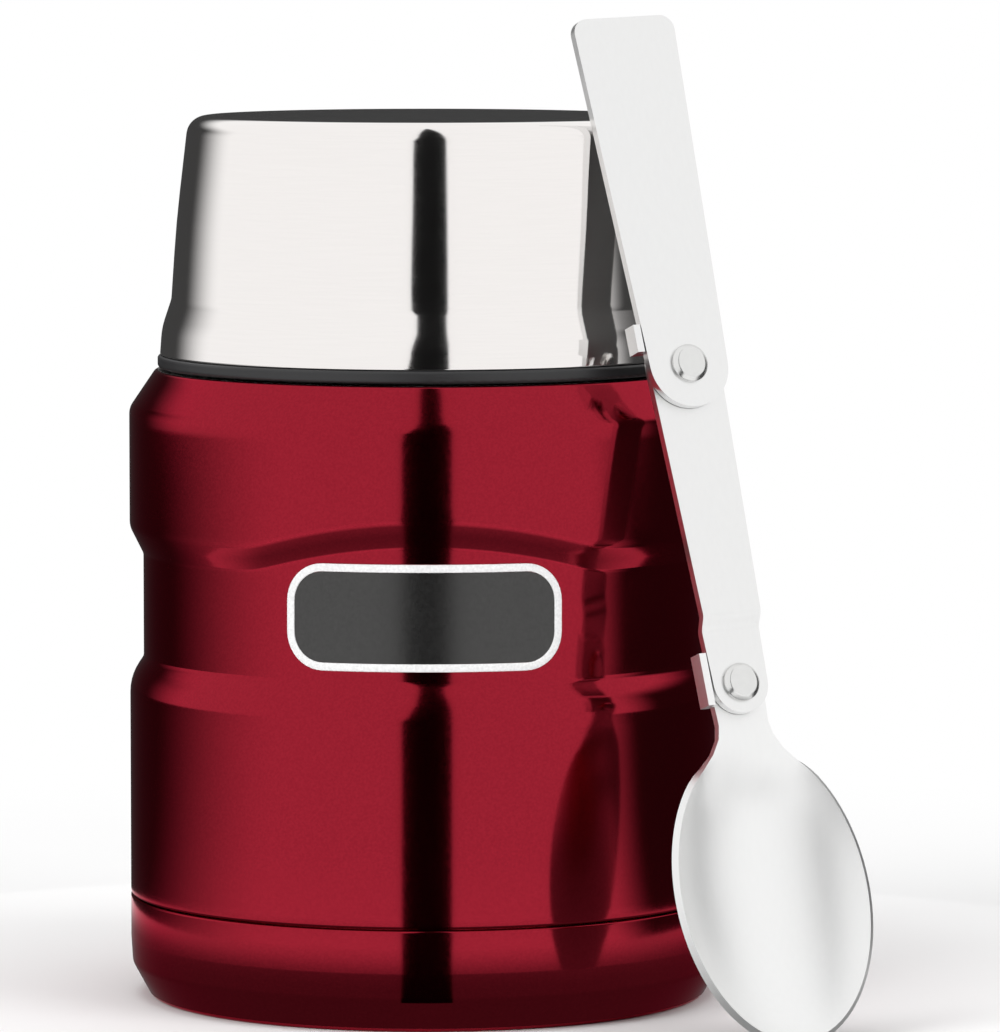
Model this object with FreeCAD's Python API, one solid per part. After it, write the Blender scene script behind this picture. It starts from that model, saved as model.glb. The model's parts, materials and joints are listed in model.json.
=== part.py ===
"""Insulated food jar with a screw-down stopper, a bowl-shaped lid and a folding spoon.

Millimetres, +Z up. The origin is the centre of the foot ring, on the surface the jar stands on.
-Y is the front, where the badge is. The spoon leans on the lid at the front right.
"""

import FreeCAD
import Part
import math
import os

from FreeCAD import Matrix, Placement, Rotation, Vector

# Gauges and clearances
steel = 0.5            # wall of every deep-drawn steel shell
plastic = 1.6          # wall of the lid's inner bowl
play = 0.3             # gap between pieces that part by hand
fit = 0.05             # gap between pieces that are pressed, glued or wrapped together
groove = 0.3           # visible line between the base cup and the wall above it

# Outside of the vessel
body_radius = 48.0
waist_depth = 2.2      # how far the waist band is set in
waist_bottom = 54.8
waist_top = 71.6
waist_low_slope = 3.3  # height of the lower step of the waist
waist_high_slope = 4.4
arch_rise = 4.5        # the waist's upper step arches up over the badge
arch_half_width = 26.0
shoulder_start = 95.0
shoulder_top = 101.2
shoulder_inset = 4.6   # from the body's radius in to the lid's rim
base_cup_height = 16.3
foot_width = 5.0
foot_inset = 3.2       # from the body's radius in to the outer edge of the foot ring
foot_recess = 1.6
foot_chamfer = 5.4     # height of the slope between the foot and the side
foot_bulge = 0.25      # how far the slope's top is set in from the side
tuck = 1.0             # how far the outer wall is necked in where the base cup covers it
wall_foot = 7.0        # height of the outer wall's lower end, inside the base cup
vacuum_floor = 5.0     # height of the disc that closes the vacuum
vacuum_skirt = 7.0     # height of the skirt that joins the disc to the outer wall

# Inside of the vessel
vacuum_gap = 2.9
neck_gap = 1.3
floor_rise = 4.0       # from the vacuum's disc up to the food vessel's floor
floor_corner = 8.0
liner_seam = 20.0
throat_start = 87.0
throat_rise = 9.5
ledge_width = 2.5
ledge_drop = 1.2       # the seal's ledge is this far below the shoulder
neck_height = 17.3
shield_thickness = 0.15
getter_radius = 4.0
getter_height = 1.4
getter_offset = 20.0
getter_floor = 0.3
getter_grip = 0.35     # gauge of the holder's wall round the getter
seal_hole_radius = 1.2
seal_bead_radius = 2.4
seal_bead_height = 0.9
seal_bead_root = 0.6   # how far the bead fills the hole

# Lugs that lock the lid and the stopper
lug_count = 4
lug_angle = 38.0
lug_lead = 15.0        # rise of the lug's helix in one turn
lug_width = 2.4
lug_room = 2.0         # space between the neck and the lid's bowl
stopper_room = 1.6     # space between the stopper and the neck
lug_clearance = 0.5

# Lid
lid_height = 40.5
lid_band = 2.1         # height of the bowl's rim that shows under the steel
lid_skirt = 4.7        # from the steel's lower edge to the widest part of its flare
lid_flare = 8.9        # from the steel's lower edge to the top of its flare
lid_flare_depth = 1.85
lid_taper = 4.7        # from the steel's lower edge in to the top edge
lid_edge_inset = 0.4
lid_corner = 3.2
bowl_inset = 5.1       # from the lid's rim in to the bowl's wall
bowl_taper = 3.6
bowl_depth_gap = 3.4   # from the lid's top down to the bowl's floor

# Stopper
plug_drop = 7.0        # how far the plug hangs below the seal's ledge
plug_clearance = 0.6
seal_height = 2.2
stopper_wall = 2.0
flange_reach = 3.4
flange_thickness = 2.4
grip_height = 6.3
grip_wall = 2.0
scallop_count = 24
scallop_radius = 2.4
scallop_depth = 0.7
tray_thickness = 1.5
well_gap = 2.4         # from the well's end to the plug's bore
well_width_part = 0.58 # the well's width as a part of its length
well_depth = 9.5
finger_height = 4.5
finger_width = 5.0
finger_gauge = 1.8
finger_spread = 0.48   # place of the fingers as a part of the well's half length
finger_gap = 2.3

# Badge on the waist
badge_width = 44.2
badge_height = 16.8
badge_corner = 6.0
badge_centre = 65.2
badge_thickness = 0.4
border_width = 1.25
border_proud = 0.15

# Folding spoon. Its own axes are X across, Y along towards the grip, Z out of its face.
plate = 1.4            # gauge of the spoon's strips
leaf_gap = 0.15        # between strips that turn on one another
link_length = 50.7     # from rivet to rivet
grip_length = 56.8     # from the upper rivet to the end of the grip
grip_end_radius = 6.9
grip_top_half = 8.95
grip_corner = 2.4
link_top_half = 6.3
link_low_half = 4.8
jog_start = 8.8        # the link steps back by one strip above the lower rivet
jog_length = 1.8
tab_gauge = 1.2
upper_tab_start = 2.5
upper_tab_length = 4.4
lower_tab_start = -3.1
lower_tab_length = 8.3
rivet_shank = 1.6
rivet_head = 3.05
rivet_head_height = 1.2
scoop_half_width = 16.9
scoop_half_length = 24.3
scoop_centre = 33.4    # from the lower rivet to the middle of the scoop
scoop_depth = 6.5
scoop_wall = 1.1
scoop_rim_drop = 0.3   # the rim lies this far behind the neck's face
neck_length = 3.2      # flat part of the neck below its round end

# Where the leaning spoon stands
foot_reach = 36.1      # from the body out to the scoop's tip
foot_azimuth = 44.5    # degrees from the front towards +X
lean_azimuth = 43.0    # where the grip's edge meets the lid
lean_gap = 0.35        # from the grip's edge to the lid's rounded top edge
spoon_turn = 13.7      # turn about the line from its foot to the lid

# Sizes that follow from the ones above
waist_radius = body_radius - waist_depth
liner_radius = waist_radius - steel - vacuum_gap - steel
lid_rim = body_radius - shoulder_inset
bowl_radius = lid_rim - bowl_inset
neck_radius = bowl_radius - lug_room
mouth_radius = neck_radius - steel - neck_gap - steel
throat_radius = mouth_radius - ledge_width
ledge_z = shoulder_top - ledge_drop
lip_z = shoulder_top + neck_height
lid_bottom = shoulder_top + play
lid_top = lid_bottom + lid_height
stopper_radius = mouth_radius - stopper_room
plug_radius = throat_radius - plug_clearance
plug_bottom = ledge_z - plug_drop
seal_top = ledge_z + fit + seal_height
flange_z = lip_z + play
flange_radius = stopper_radius + flange_reach
tray_seat = flange_z + flange_thickness
grip_top = tray_seat + grip_height
plug_bore = plug_radius - stopper_wall
well_half_length = plug_bore - tray_thickness - well_gap
well_half_width = well_half_length * well_width_part
food_floor = vacuum_floor + floor_rise
leaf_pitch = plate + leaf_gap
lid_side = lid_height - lid_band - lid_flare
lid_side_slope = (lid_taper - lid_flare_depth) * 0.7 / (lid_side * 0.58)


def turning(before, here, after):
    """Directions in and out of a corner, the turn between them, and its sign."""
    into = Vector(here[0] - before[0], 0, here[1] - before[1]).normalize()
    out = Vector(after[0] - here[0], 0, after[1] - here[1]).normalize()
    turn = math.acos(max(-1.0, min(1.0, into.dot(out))))
    left = into.x * out.z - into.z * out.x > 0
    return into, out, turn, left


def rounded_face(corners):
    """A closed profile in the XZ plane. Each corner is (radius from the axis, height, rounding)."""
    starts = []
    ends = []
    middles = []
    count = len(corners)
    for i, corner in enumerate(corners):
        here = Vector(corner[0], 0, corner[1])
        into, out, turn, _ = turning(corners[i - 1], corner, corners[(i + 1) % count])
        if corner[2] <= 0 or turn < 1e-4:
            starts.append(here)
            ends.append(here)
            middles.append(None)
            continue
        reach = corner[2] * math.tan(turn / 2)
        bulge = corner[2] * (1 / math.cos(turn / 2) - 1)
        starts.append(here - into * reach)
        ends.append(here + out * reach)
        middles.append(here + (out - into).normalize() * bulge)
    edges = []
    for i in range(count):
        if middles[i] is not None:
            edges.append(Part.Arc(starts[i], middles[i], ends[i]).toShape())
        nxt = starts[(i + 1) % count]
        if ends[i].distanceToPoint(nxt) > 1e-6:
            edges.append(Part.LineSegment(ends[i], nxt).toShape())
    return Part.Face(Part.Wire(edges))


def turned(corners):
    """A solid of revolution about Z from a closed profile."""
    return rounded_face(corners).revolve(Vector(0, 0, 0), Vector(0, 0, 1), 360)


def moved_in(chain, distance):
    """The chain moved to its left, which is inwards when it runs out, up and back in."""
    shifted = []
    for i, corner in enumerate(chain):
        before = chain[i - 1] if i > 0 else None
        after = chain[i + 1] if i + 1 < len(chain) else None
        if before is None or after is None:
            a, b = (corner, after) if before is None else (before, corner)
            along = Vector(b[0] - a[0], 0, b[1] - a[1]).normalize()
            shifted.append((corner[0] - along.z * distance, corner[1] + along.x * distance, 0))
            continue
        into, out, turn, left = turning(before, corner, after)
        reach = distance * math.tan(turn / 2) * (1 if left else -1)
        r = corner[0] - into.z * distance - into.x * reach
        z = corner[1] + into.x * distance - into.z * reach
        rounding = corner[2] - distance if left else corner[2] + distance
        shifted.append((r, z, max(rounding, 0.05) if corner[2] > 0 else 0))
    return shifted


def sheet_wall(chain, gauge):
    """A turned shell of even gauge whose outer surface follows the chain."""
    return turned(chain + moved_in(chain, gauge)[::-1])


def ring(inner, outer, bottom, top, rounding=0.0):
    corners = [(inner, bottom), (outer, bottom), (outer, top), (inner, top)]
    return turned([(r, z, rounding) for r, z in corners])


def disc(radius, bottom, top):
    return Part.makeCylinder(radius, top - bottom, Vector(0, 0, bottom))


def joined(solids):
    whole = solids[0].fuse(solids[1:]) if len(solids) > 1 else solids[0]
    return whole.removeSplitter()


def lugs(wall, crest, middle_z, first_angle):
    """Helical lugs standing from a wall radius to a crest radius, evenly spaced round the neck."""
    rise = lug_lead * lug_angle / 360
    root = wall - math.copysign(0.25, crest - wall)
    path = Part.makeHelix(lug_lead, rise, min(wall, crest))
    half_root = lug_width / 2
    half_crest = lug_width / 4
    points = [Vector(root, 0, -half_root), Vector(crest, 0, -half_crest), Vector(crest, 0, half_crest),
              Vector(root, 0, half_root), Vector(root, 0, -half_root)]
    lug = path.makePipeShell([Part.makePolygon(points)], True, True)
    made = []
    for i in range(lug_count):
        one = lug.copy()
        one.translate(Vector(0, 0, middle_z - rise / 2))
        one.rotate(Vector(0, 0, 0), Vector(0, 0, 1), first_angle - lug_angle / 2 + i * 360 / lug_count)
        made.append(one)
    return made


def arch_cutter(inset):
    """What the arch over the badge removes from the band above the waist, for a surface moved in by inset."""
    circle = (arch_half_width**2 + arch_rise**2) / (2 * arch_rise)
    slope = waist_high_slope / waist_depth
    lift = inset * math.hypot(1, slope)
    deep = 3.0
    below = 9.0
    sections = []
    steps = 12
    reach = math.asin((arch_half_width + 3) / waist_radius)
    for i in range(steps + 1):
        angle = reach * (2 * i / steps - 1)
        across = body_radius * math.sin(angle)
        rise = arch_rise - circle + math.sqrt(circle**2 - across**2)
        foot = waist_top + rise + lift
        low = foot - deep * slope
        profile = [
            (waist_radius - deep, low - below),
            (waist_radius - deep, low),
            (body_radius + deep, foot + (waist_depth + deep) * slope),
            (body_radius + deep, low - below),
        ]
        corners = [Vector(r * math.sin(angle), -r * math.cos(angle), z) for r, z in profile]
        sections.append(Part.makePolygon(corners + corners[:1]))
    swept = Part.makeLoft(sections, True, False)
    return swept.cut(disc(waist_radius - inset, 0, lid_top))


def outer_wall():
    """The painted wall from the base cup to the rolled lip, with the waist, its arch and the neck's lugs."""
    chain = [
        (body_radius - tuck, wall_foot, 0),
        (body_radius - tuck, base_cup_height + groove, 0),
        (body_radius, base_cup_height + groove, 0.45),
        (body_radius, waist_bottom - waist_low_slope, 8.0),
        (waist_radius, waist_bottom, 1.2),
        (waist_radius, waist_top, 1.2),
        (body_radius, waist_top + waist_high_slope, 3.5),
        (body_radius, shoulder_start, 3.0),
        (lid_rim + 0.4, shoulder_top, 0.8),
        (neck_radius, shoulder_top, 0.8),
        (neck_radius, lip_z, 0.8),
        (mouth_radius + steel, lip_z, 0),
    ]
    inner = moved_in(chain, steel)
    outside = turned([(0, chain[0][1], 0)] + chain + [(0, lip_z, 0)]).cut(arch_cutter(0))
    inside = turned([(0, inner[0][1] - 1, 0), (inner[0][0], inner[0][1] - 1, 0)] + inner[1:-1]
                    + [(inner[-1][0], inner[-1][1], 0), (0, inner[-1][1], 0)]).cut(arch_cutter(steel))
    lip_bore = disc(mouth_radius + steel, lip_z - 3, lip_z + 1)
    wall = outside.cut(inside).cut(lip_bore)
    middle = (lid_bottom + lip_z) / 2 - 1.5
    return joined([wall] + lugs(neck_radius, neck_radius + lug_room - lug_clearance, middle, 0))


def inner_wall():
    """The food vessel's wall, from the seam above its floor to the lip."""
    inside = [
        (liner_radius, liner_seam, 0),
        (liner_radius, throat_start, 5.0),
        (throat_radius, throat_start + throat_rise, 2.0),
        (throat_radius, ledge_z, 0.4),
        (mouth_radius, ledge_z, 0.6),
        (mouth_radius, lip_z, 0),
    ]
    outside = moved_in(inside, -steel)
    wall = turned(outside + inside[::-1])
    middle = (seal_top + lip_z) / 2
    return joined([wall] + lugs(mouth_radius, mouth_radius - stopper_room + lug_clearance, middle, 0))


def inner_bottom():
    chain = [
        (0, food_floor - steel, 0),
        (liner_radius + steel, food_floor - steel, floor_corner + steel),
        (liner_radius + steel, liner_seam, 0),
    ]
    return sheet_wall(chain, steel)


def base_cup():
    chain = [
        (0, foot_recess, 0),
        (body_radius - foot_inset - foot_width - 1.3, foot_recess, 1.2),
        (body_radius - foot_inset - foot_width, 0, 0.8),
        (body_radius - foot_inset, 0, 1.0),
        (body_radius - foot_bulge, foot_chamfer, 2.4),
        (body_radius, foot_chamfer + 4.1, 6.0),
        (body_radius, base_cup_height, 0),
    ]
    return sheet_wall(chain, steel)


def outer_bottom():
    """The pressed disc that closes the vacuum, with the hole the air was drawn out through."""
    radius = body_radius - tuck - steel - fit
    chain = [(0, vacuum_floor, 0), (radius, vacuum_floor, 3.0), (radius, vacuum_floor + vacuum_skirt, 0)]
    hole = disc(seal_hole_radius, vacuum_floor - steel, vacuum_floor + 3 * steel)
    return sheet_wall(chain, steel).cut(hole)


def vacuum_plug():
    """The bead of solder that seals the hole in the outer bottom."""
    low = vacuum_floor - seal_bead_height
    root = vacuum_floor + seal_bead_root
    return turned([(0, low, 0), (seal_bead_radius, low, 0.6), (seal_bead_radius, vacuum_floor, 0),
                   (seal_hole_radius, vacuum_floor, 0), (seal_hole_radius, root, 0), (0, root, 0)])


def getter_cup():
    floor = vacuum_floor + steel
    inside = floor + getter_floor
    cup = disc(getter_radius + getter_grip, floor, floor + getter_height)
    cup = cup.cut(disc(getter_radius + fit, inside, inside + getter_height))
    cup.translate(Vector(getter_offset, 0, 0))
    return cup


def getter():
    low = vacuum_floor + steel + getter_floor
    top = low + getter_height
    pill = turned([(0, low, 0), (getter_radius, low, 0.2), (getter_radius, top, 0.4), (0, top, 0)])
    pill.translate(Vector(getter_offset, 0, 0))
    return pill


def heat_shield():
    """Foil wrapped on the food vessel, in the vacuum."""
    start = liner_radius + steel + fit
    return ring(start, start + shield_thickness, liner_seam + 4, throat_start - 6)


def rounded_plate(width, height, corner, centre_z, depth):
    """A rounded rectangle seen from the front, pushed back from the front by depth."""
    x = width / 2
    points = [(x, centre_z - height / 2, corner), (x, centre_z + height / 2, corner),
              (-x, centre_z + height / 2, corner), (-x, centre_z - height / 2, corner)]
    face = rounded_face(points)
    face.translate(Vector(0, -body_radius - 5, 0))
    return face.extrude(Vector(0, depth, 0))


def badge_layer(width, height, corner, thickness):
    skin = ring(waist_radius + fit, waist_radius + fit + thickness, waist_bottom, waist_top + arch_rise)
    return skin.common(rounded_plate(width, height, corner, badge_centre, body_radius / 2))


def badge_plate():
    field = border_width + fit
    width = badge_width - 2 * field
    height = badge_height - 2 * field
    return badge_layer(width, height, badge_corner - field, badge_thickness)


def badge_border():
    whole = badge_layer(badge_width, badge_height, badge_corner, badge_thickness + border_proud)
    inside = rounded_plate(badge_width - 2 * border_width, badge_height - 2 * border_width,
                           badge_corner - border_width, badge_centre, body_radius / 2)
    return whole.cut(inside)


def lid_shell():
    low = lid_bottom + lid_band
    edge = lid_rim - lid_edge_inset
    flare = edge - lid_flare_depth
    top = edge - lid_taper
    chain = [
        (edge, low, 0),
        (edge - 0.3, low + lid_skirt - 0.4, 12.0),
        (flare, low + lid_flare, 4.0),
        (flare - (flare - top) * 0.3, low + lid_flare + lid_side * 0.42, 200.0),
        (top, lid_top, lid_corner),
        (0, lid_top, 0),
    ]
    return sheet_wall(chain, steel)


def lid_bowl():
    """The moulded inside of the lid, which is also a serving bowl. Its rim shows under the steel."""
    low = lid_bottom + lid_band
    floor = lid_top - bowl_depth_gap
    inside = [
        (bowl_radius, lid_bottom, 0),
        (bowl_radius, low + lid_flare, 6.0),
        (bowl_radius - bowl_taper, floor, 4.0),
        (0, floor, 0),
    ]
    bowl = turned(moved_in(inside, -plastic) + inside[::-1])
    locator = lid_rim - lid_edge_inset - steel - 0.35
    rim = turned([
        (bowl_radius, lid_bottom, 0),
        (lid_rim, lid_bottom, 0.7),
        (lid_rim, low - fit, 0.5),
        (locator, low - fit, 0),
        (locator, low + 2.6, 0.3),
        (locator - 1.0, low + 2.6, 0.3),
        (locator - 1.0, low - fit, 0),
        (bowl_radius, low - fit, 0),
    ])
    middle = (lid_bottom + lip_z) / 2 - 1.5
    free_angle = 180 / lug_count
    return joined([bowl, rim] + lugs(bowl_radius, bowl_radius - lug_room + lug_clearance, middle, free_angle))


def stopper_body():
    """The plug: a moulded cup with lugs, a flange over the lip and a scalloped grip ring."""
    bore = plug_bore
    profile = [
        (0, plug_bottom, 0),
        (plug_radius, plug_bottom, 1.5),
        (plug_radius, seal_top + fit, 0),
        (stopper_radius, seal_top + fit, 0.4),
        (stopper_radius, flange_z, 0.5),
        (flange_radius, flange_z, 0.7),
        (flange_radius, grip_top, 1.0),
        (flange_radius - grip_wall, grip_top, 0.6),
        (flange_radius - grip_wall, tray_seat, 0),
        (bore, tray_seat, 0.3),
        (bore, plug_bottom + stopper_wall, 1.0),
        (0, plug_bottom + stopper_wall, 0),
    ]
    cup = turned(profile)
    reach = flange_radius + scallop_radius - scallop_depth
    for i in range(scallop_count):
        angle = 2 * math.pi * i / scallop_count
        place = Vector(reach * math.cos(angle), reach * math.sin(angle), flange_z + flange_thickness / 2)
        cup = cup.cut(Part.makeCylinder(scallop_radius, grip_height * 2, place))
    middle = (seal_top + lip_z) / 2
    free_angle = 180 / lug_count
    return joined([cup] + lugs(stopper_radius, mouth_radius - lug_clearance, middle, free_angle))


def stadium(half_length, half_width, bottom, top):
    """An upright slot-shaped block, long in X."""
    straight = half_length - half_width
    a = Vector(-straight, -half_width, bottom)
    b = Vector(straight, -half_width, bottom)
    c = Vector(straight, half_width, bottom)
    d = Vector(-straight, half_width, bottom)
    edges = [Part.LineSegment(a, b).toShape(), Part.Arc(b, Vector(half_length, 0, bottom), c).toShape(),
             Part.LineSegment(c, d).toShape(), Part.Arc(d, Vector(-half_length, 0, bottom), a).toShape()]
    return Part.Face(Part.Wire(edges)).extrude(Vector(0, 0, top - bottom))


def stopper_tray():
    """The cover on top of the stopper, with the well and the four fingers that hold the folded spoon."""
    bottom = tray_seat + fit
    top = bottom + tray_thickness
    plate_disc = disc(flange_radius - grip_wall - fit, bottom, top)
    well_floor = top - well_depth
    wall = tray_thickness
    well = stadium(well_half_length + wall, well_half_width + wall, well_floor - wall, top)
    hollow = stadium(well_half_length, well_half_width, well_floor, top + 1)
    fingers = []
    for side in (-1, 1):
        for end in (-1, 1):
            x = end * well_half_length * finger_spread - finger_width / 2
            y = side * (well_half_width + finger_gap + finger_gauge / 2) - finger_gauge / 2
            corner = Vector(x, y, top - tray_thickness / 2)
            tall = finger_height + tray_thickness / 2
            fingers.append(Part.makeBox(finger_width, finger_gauge, tall, corner))
    return joined([plate_disc, well] + fingers).cut(hollow)


def stopper_foam():
    top = tray_seat + fit - well_depth - 0.3
    low = plug_bottom + stopper_wall + fit
    return turned([(0, low, 0), (plug_bore - fit, low, 1.2), (plug_bore - fit, top, 0.5), (0, top, 0)])


def stopper_seal():
    inner = plug_radius + fit
    outer = mouth_radius - play
    low = ledge_z + fit
    return turned([(inner, low, 0.3), (outer, low, 0.7), (outer, seal_top, 0.9), (inner, seal_top, 0.3)])


def strip(outline, back, front):
    """A flat strip of the spoon from a closed wire in its XY plane."""
    face = Part.Face(outline)
    face.translate(Vector(0, 0, back))
    return face.extrude(Vector(0, 0, front - back))


def tapered_outline(low, low_half, high, high_half, corner):
    """Round about (0, low) at the lower end, widening to a squared top with rounded corners."""
    taper = math.atan2(high_half - low_half, high - low)
    side = Vector(math.cos(taper), -math.sin(taper), 0) * low_half
    right = Vector(side.x, low + side.y, 0)
    left = Vector(-side.x, low + side.y, 0)
    bottom = Vector(0, low - low_half, 0)
    if corner >= high_half:
        top_right = Vector(high_half * math.cos(taper), high - high_half * math.sin(taper), 0)
        top_left = Vector(-top_right.x, top_right.y, 0)
        crown = Vector(0, high + high_half, 0)
        edges = [Part.Arc(left, bottom, right).toShape(), Part.LineSegment(right, top_right).toShape(),
                 Part.Arc(top_right, crown, top_left).toShape(), Part.LineSegment(top_left, left).toShape()]
        return Part.Wire(edges)
    lean = Vector(math.sin(taper), math.cos(taper), 0)
    tip = Vector(high_half, high, 0)
    turn = math.pi / 2 + taper
    reach = corner * math.tan(turn / 2)
    start = tip - lean * reach
    stop = tip - Vector(reach, 0, 0)
    towards = (Vector(-1, 0, 0) - lean).normalize()
    middle = tip + towards * corner * (1 / math.cos(turn / 2) - 1)
    mirror = [Vector(-p.x, p.y, 0) for p in (stop, middle, start)]
    edges = [Part.Arc(left, bottom, right).toShape(), Part.LineSegment(right, start).toShape(),
             Part.Arc(start, middle, stop).toShape(), Part.LineSegment(stop, mirror[0]).toShape(),
             Part.Arc(mirror[0], mirror[1], mirror[2]).toShape(), Part.LineSegment(mirror[2], left).toShape()]
    return Part.Wire(edges)


def rivet_hole(y):
    return Part.makeCylinder(rivet_shank + fit, 20, Vector(0, y, -10))


def spoon_grip():
    """The end strip, in front of the link."""
    top = link_length + grip_length
    outline = tapered_outline(link_length, grip_end_radius, top, grip_top_half, grip_corner)
    return strip(outline, leaf_pitch, leaf_pitch + plate).cut(rivet_hole(link_length))


def spoon_link():
    """The middle strip. It steps back above the lower rivet, and a tab at its top stops the grip."""
    outline = tapered_outline(0, link_low_half, link_length, link_top_half, link_top_half)
    tall = strip(outline, -leaf_pitch, plate)
    reach = 20
    jog_end = jog_start + jog_length
    keep = [(-reach, -leaf_pitch), (jog_start, -leaf_pitch), (jog_end, 0), (link_length + reach, 0)]
    keep += [(y, z + plate) for y, z in reversed(keep)]
    corners = [Vector(-reach, y, z) for y, z in keep]
    side = Part.Face(Part.makePolygon(corners + corners[:1])).extrude(Vector(2 * reach, 0, 0))
    body = tall.common(side)
    low = link_length + upper_tab_start
    tab_end = upper_tab_start + upper_tab_length
    grip_half = grip_end_radius + (grip_top_half - grip_end_radius) * tab_end / grip_length
    inner = grip_half + leaf_gap
    tab = Part.makeBox(tab_gauge, upper_tab_length, leaf_pitch + plate, Vector(-inner - tab_gauge, low, 0))
    ear = Part.makeBox(inner + tab_gauge - 1.0, upper_tab_length, plate, Vector(-inner - tab_gauge, low, 0))
    whole = joined([body, ear, tab])
    return whole.cut(rivet_hole(0)).cut(rivet_hole(link_length))


def ellipsoid(half_width, half_length, half_depth, centre):
    ball = Part.makeSphere(1.0)
    scale = Matrix()
    scale.scale(half_width, half_length, half_depth)
    ball = ball.transformGeometry(scale)
    ball.translate(centre)
    return ball


def scoop_shape(inset):
    """The ellipsoid whose cap below the rim is the scoop, for a surface moved in by inset."""
    cap = math.radians(60)
    wide = scoop_half_width / math.sin(cap)
    long = scoop_half_length / math.sin(cap)
    deep = scoop_depth / (1 - math.cos(cap))
    rim = neck_face - scoop_rim_drop
    centre = Vector(0, -scoop_centre, rim + deep - scoop_depth)
    return ellipsoid(wide - inset, long - inset, deep - inset, centre)


neck_back = -2 * leaf_pitch
neck_face = neck_back + plate
rim_z = neck_face - scoop_rim_drop


def neck_outline():
    """The neck from its round end to where it spreads into the scoop, as a closed wire."""
    half = link_low_half - 0.1
    spread = 10.5
    root = -scoop_centre + scoop_half_length * math.sqrt(1 - (spread / scoop_half_width) ** 2) - 1.0
    waist = -link_low_half - 1.5
    mid_x = half + (spread - half) * 0.30
    mid_y = waist + (root - waist) * 0.62
    right = [Vector(half, 0, 0), Vector(half, waist, 0), Vector(mid_x, mid_y, 0), Vector(spread, root, 0)]
    left = [Vector(-p.x, p.y, 0) for p in right]
    edges = [Part.Arc(left[0], Vector(0, half, 0), right[0]).toShape(),
             Part.LineSegment(right[0], right[1]).toShape(),
             Part.Arc(right[1], right[2], right[3]).toShape(), Part.LineSegment(right[3], left[3]).toShape(),
             Part.Arc(left[3], left[2], left[1]).toShape(), Part.LineSegment(left[1], left[0]).toShape()]
    return Part.Wire(edges)


def spoon_scoop():
    """The bowl of the spoon with its neck, and the tab that stops the link."""
    wide = 3 * scoop_half_width
    long = 3 * scoop_half_length
    under_rim = Part.makeBox(2 * wide, 2 * long, wide, Vector(-wide, -scoop_centre - long, rim_z - wide))
    outer = scoop_shape(0).common(under_rim)
    neck_end = -link_low_half - neck_length
    over_rim = Part.makeBox(2 * wide, 2 * long, wide, Vector(-wide, neck_end - 2 * long, rim_z))
    neck = strip(neck_outline(), neck_back, neck_face).cut(over_rim)
    low = lower_tab_start
    link_half = link_low_half + (link_top_half - link_low_half) * (low + lower_tab_length) / link_length
    inner = link_half + leaf_gap
    corner = Vector(-inner - tab_gauge, low, neck_back)
    tab = Part.makeBox(tab_gauge, lower_tab_length, 2 * plate + leaf_gap, corner)
    ear = Part.makeBox(inner + tab_gauge - 2.0, lower_tab_length, plate, corner)
    whole = joined([outer, neck, tab, ear]).cut(scoop_shape(scoop_wall))
    return whole.cut(rivet_hole(0))


def rivet(y, back, front):
    """A domed rivet through two strips, from the back face of one to the front face of the other."""
    head = [
        (0, 0, 0),
        (rivet_head, 0, 0),
        (rivet_head, rivet_head_height * 0.45, 0.35),
        (rivet_head * 0.62, rivet_head_height, 0.8),
        (0, rivet_head_height, 0),
    ]
    front_head = turned(head)
    front_head.translate(Vector(0, y, front + fit / 2))
    back_head = turned(head)
    back_head.rotate(Vector(0, 0, 0), Vector(1, 0, 0), 180)
    back_head.translate(Vector(0, y, back - fit / 2))
    shank = Part.makeCylinder(rivet_shank, front - back + fit, Vector(0, y, back - fit / 2))
    return joined([shank, front_head, back_head])


def round_point(radius, azimuth, height):
    """A point about the jar's axis, its azimuth in degrees from the front towards +X."""
    turn = math.radians(azimuth)
    return Vector(radius * math.sin(turn), -radius * math.cos(turn), height)


def spoon_placement():
    """Stands the scoop's tip on the surface and lays the grip's left back edge against the lid's top edge."""
    foot_radius = body_radius + foot_reach
    foot = round_point(foot_radius, foot_azimuth, 0)
    edge_inset = lid_corner * math.tan(math.radians(45) - math.atan(lid_side_slope) / 2)
    round_radius = lid_rim - lid_edge_inset - lid_taper - edge_inset
    tip = Vector(0, -scoop_centre - scoop_half_length, rim_z)
    lean_angle = math.atan2(foot_reach, lid_top)
    reach = link_length + grip_length / 2
    for _ in range(30):
        touch_radius = round_radius + (lid_corner + lean_gap) * math.cos(lean_angle)
        touch_z = lid_top - lid_corner + (lid_corner + lean_gap) * math.sin(lean_angle)
        touch = round_point(touch_radius, lean_azimuth, touch_z)
        lean_angle = math.atan2(foot_radius - touch_radius, touch_z)
        half = grip_end_radius + (grip_top_half - grip_end_radius) * (reach - link_length) / grip_length
        edge = Vector(-half, reach, leaf_pitch)
        reach += (touch - foot).Length - (edge - tip).Length
    lean = Rotation(edge - tip, touch - foot)
    turn = Rotation((touch - foot).normalize(), spoon_turn).multiply(lean)
    return Placement(foot - turn.multVec(tip), turn)


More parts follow.
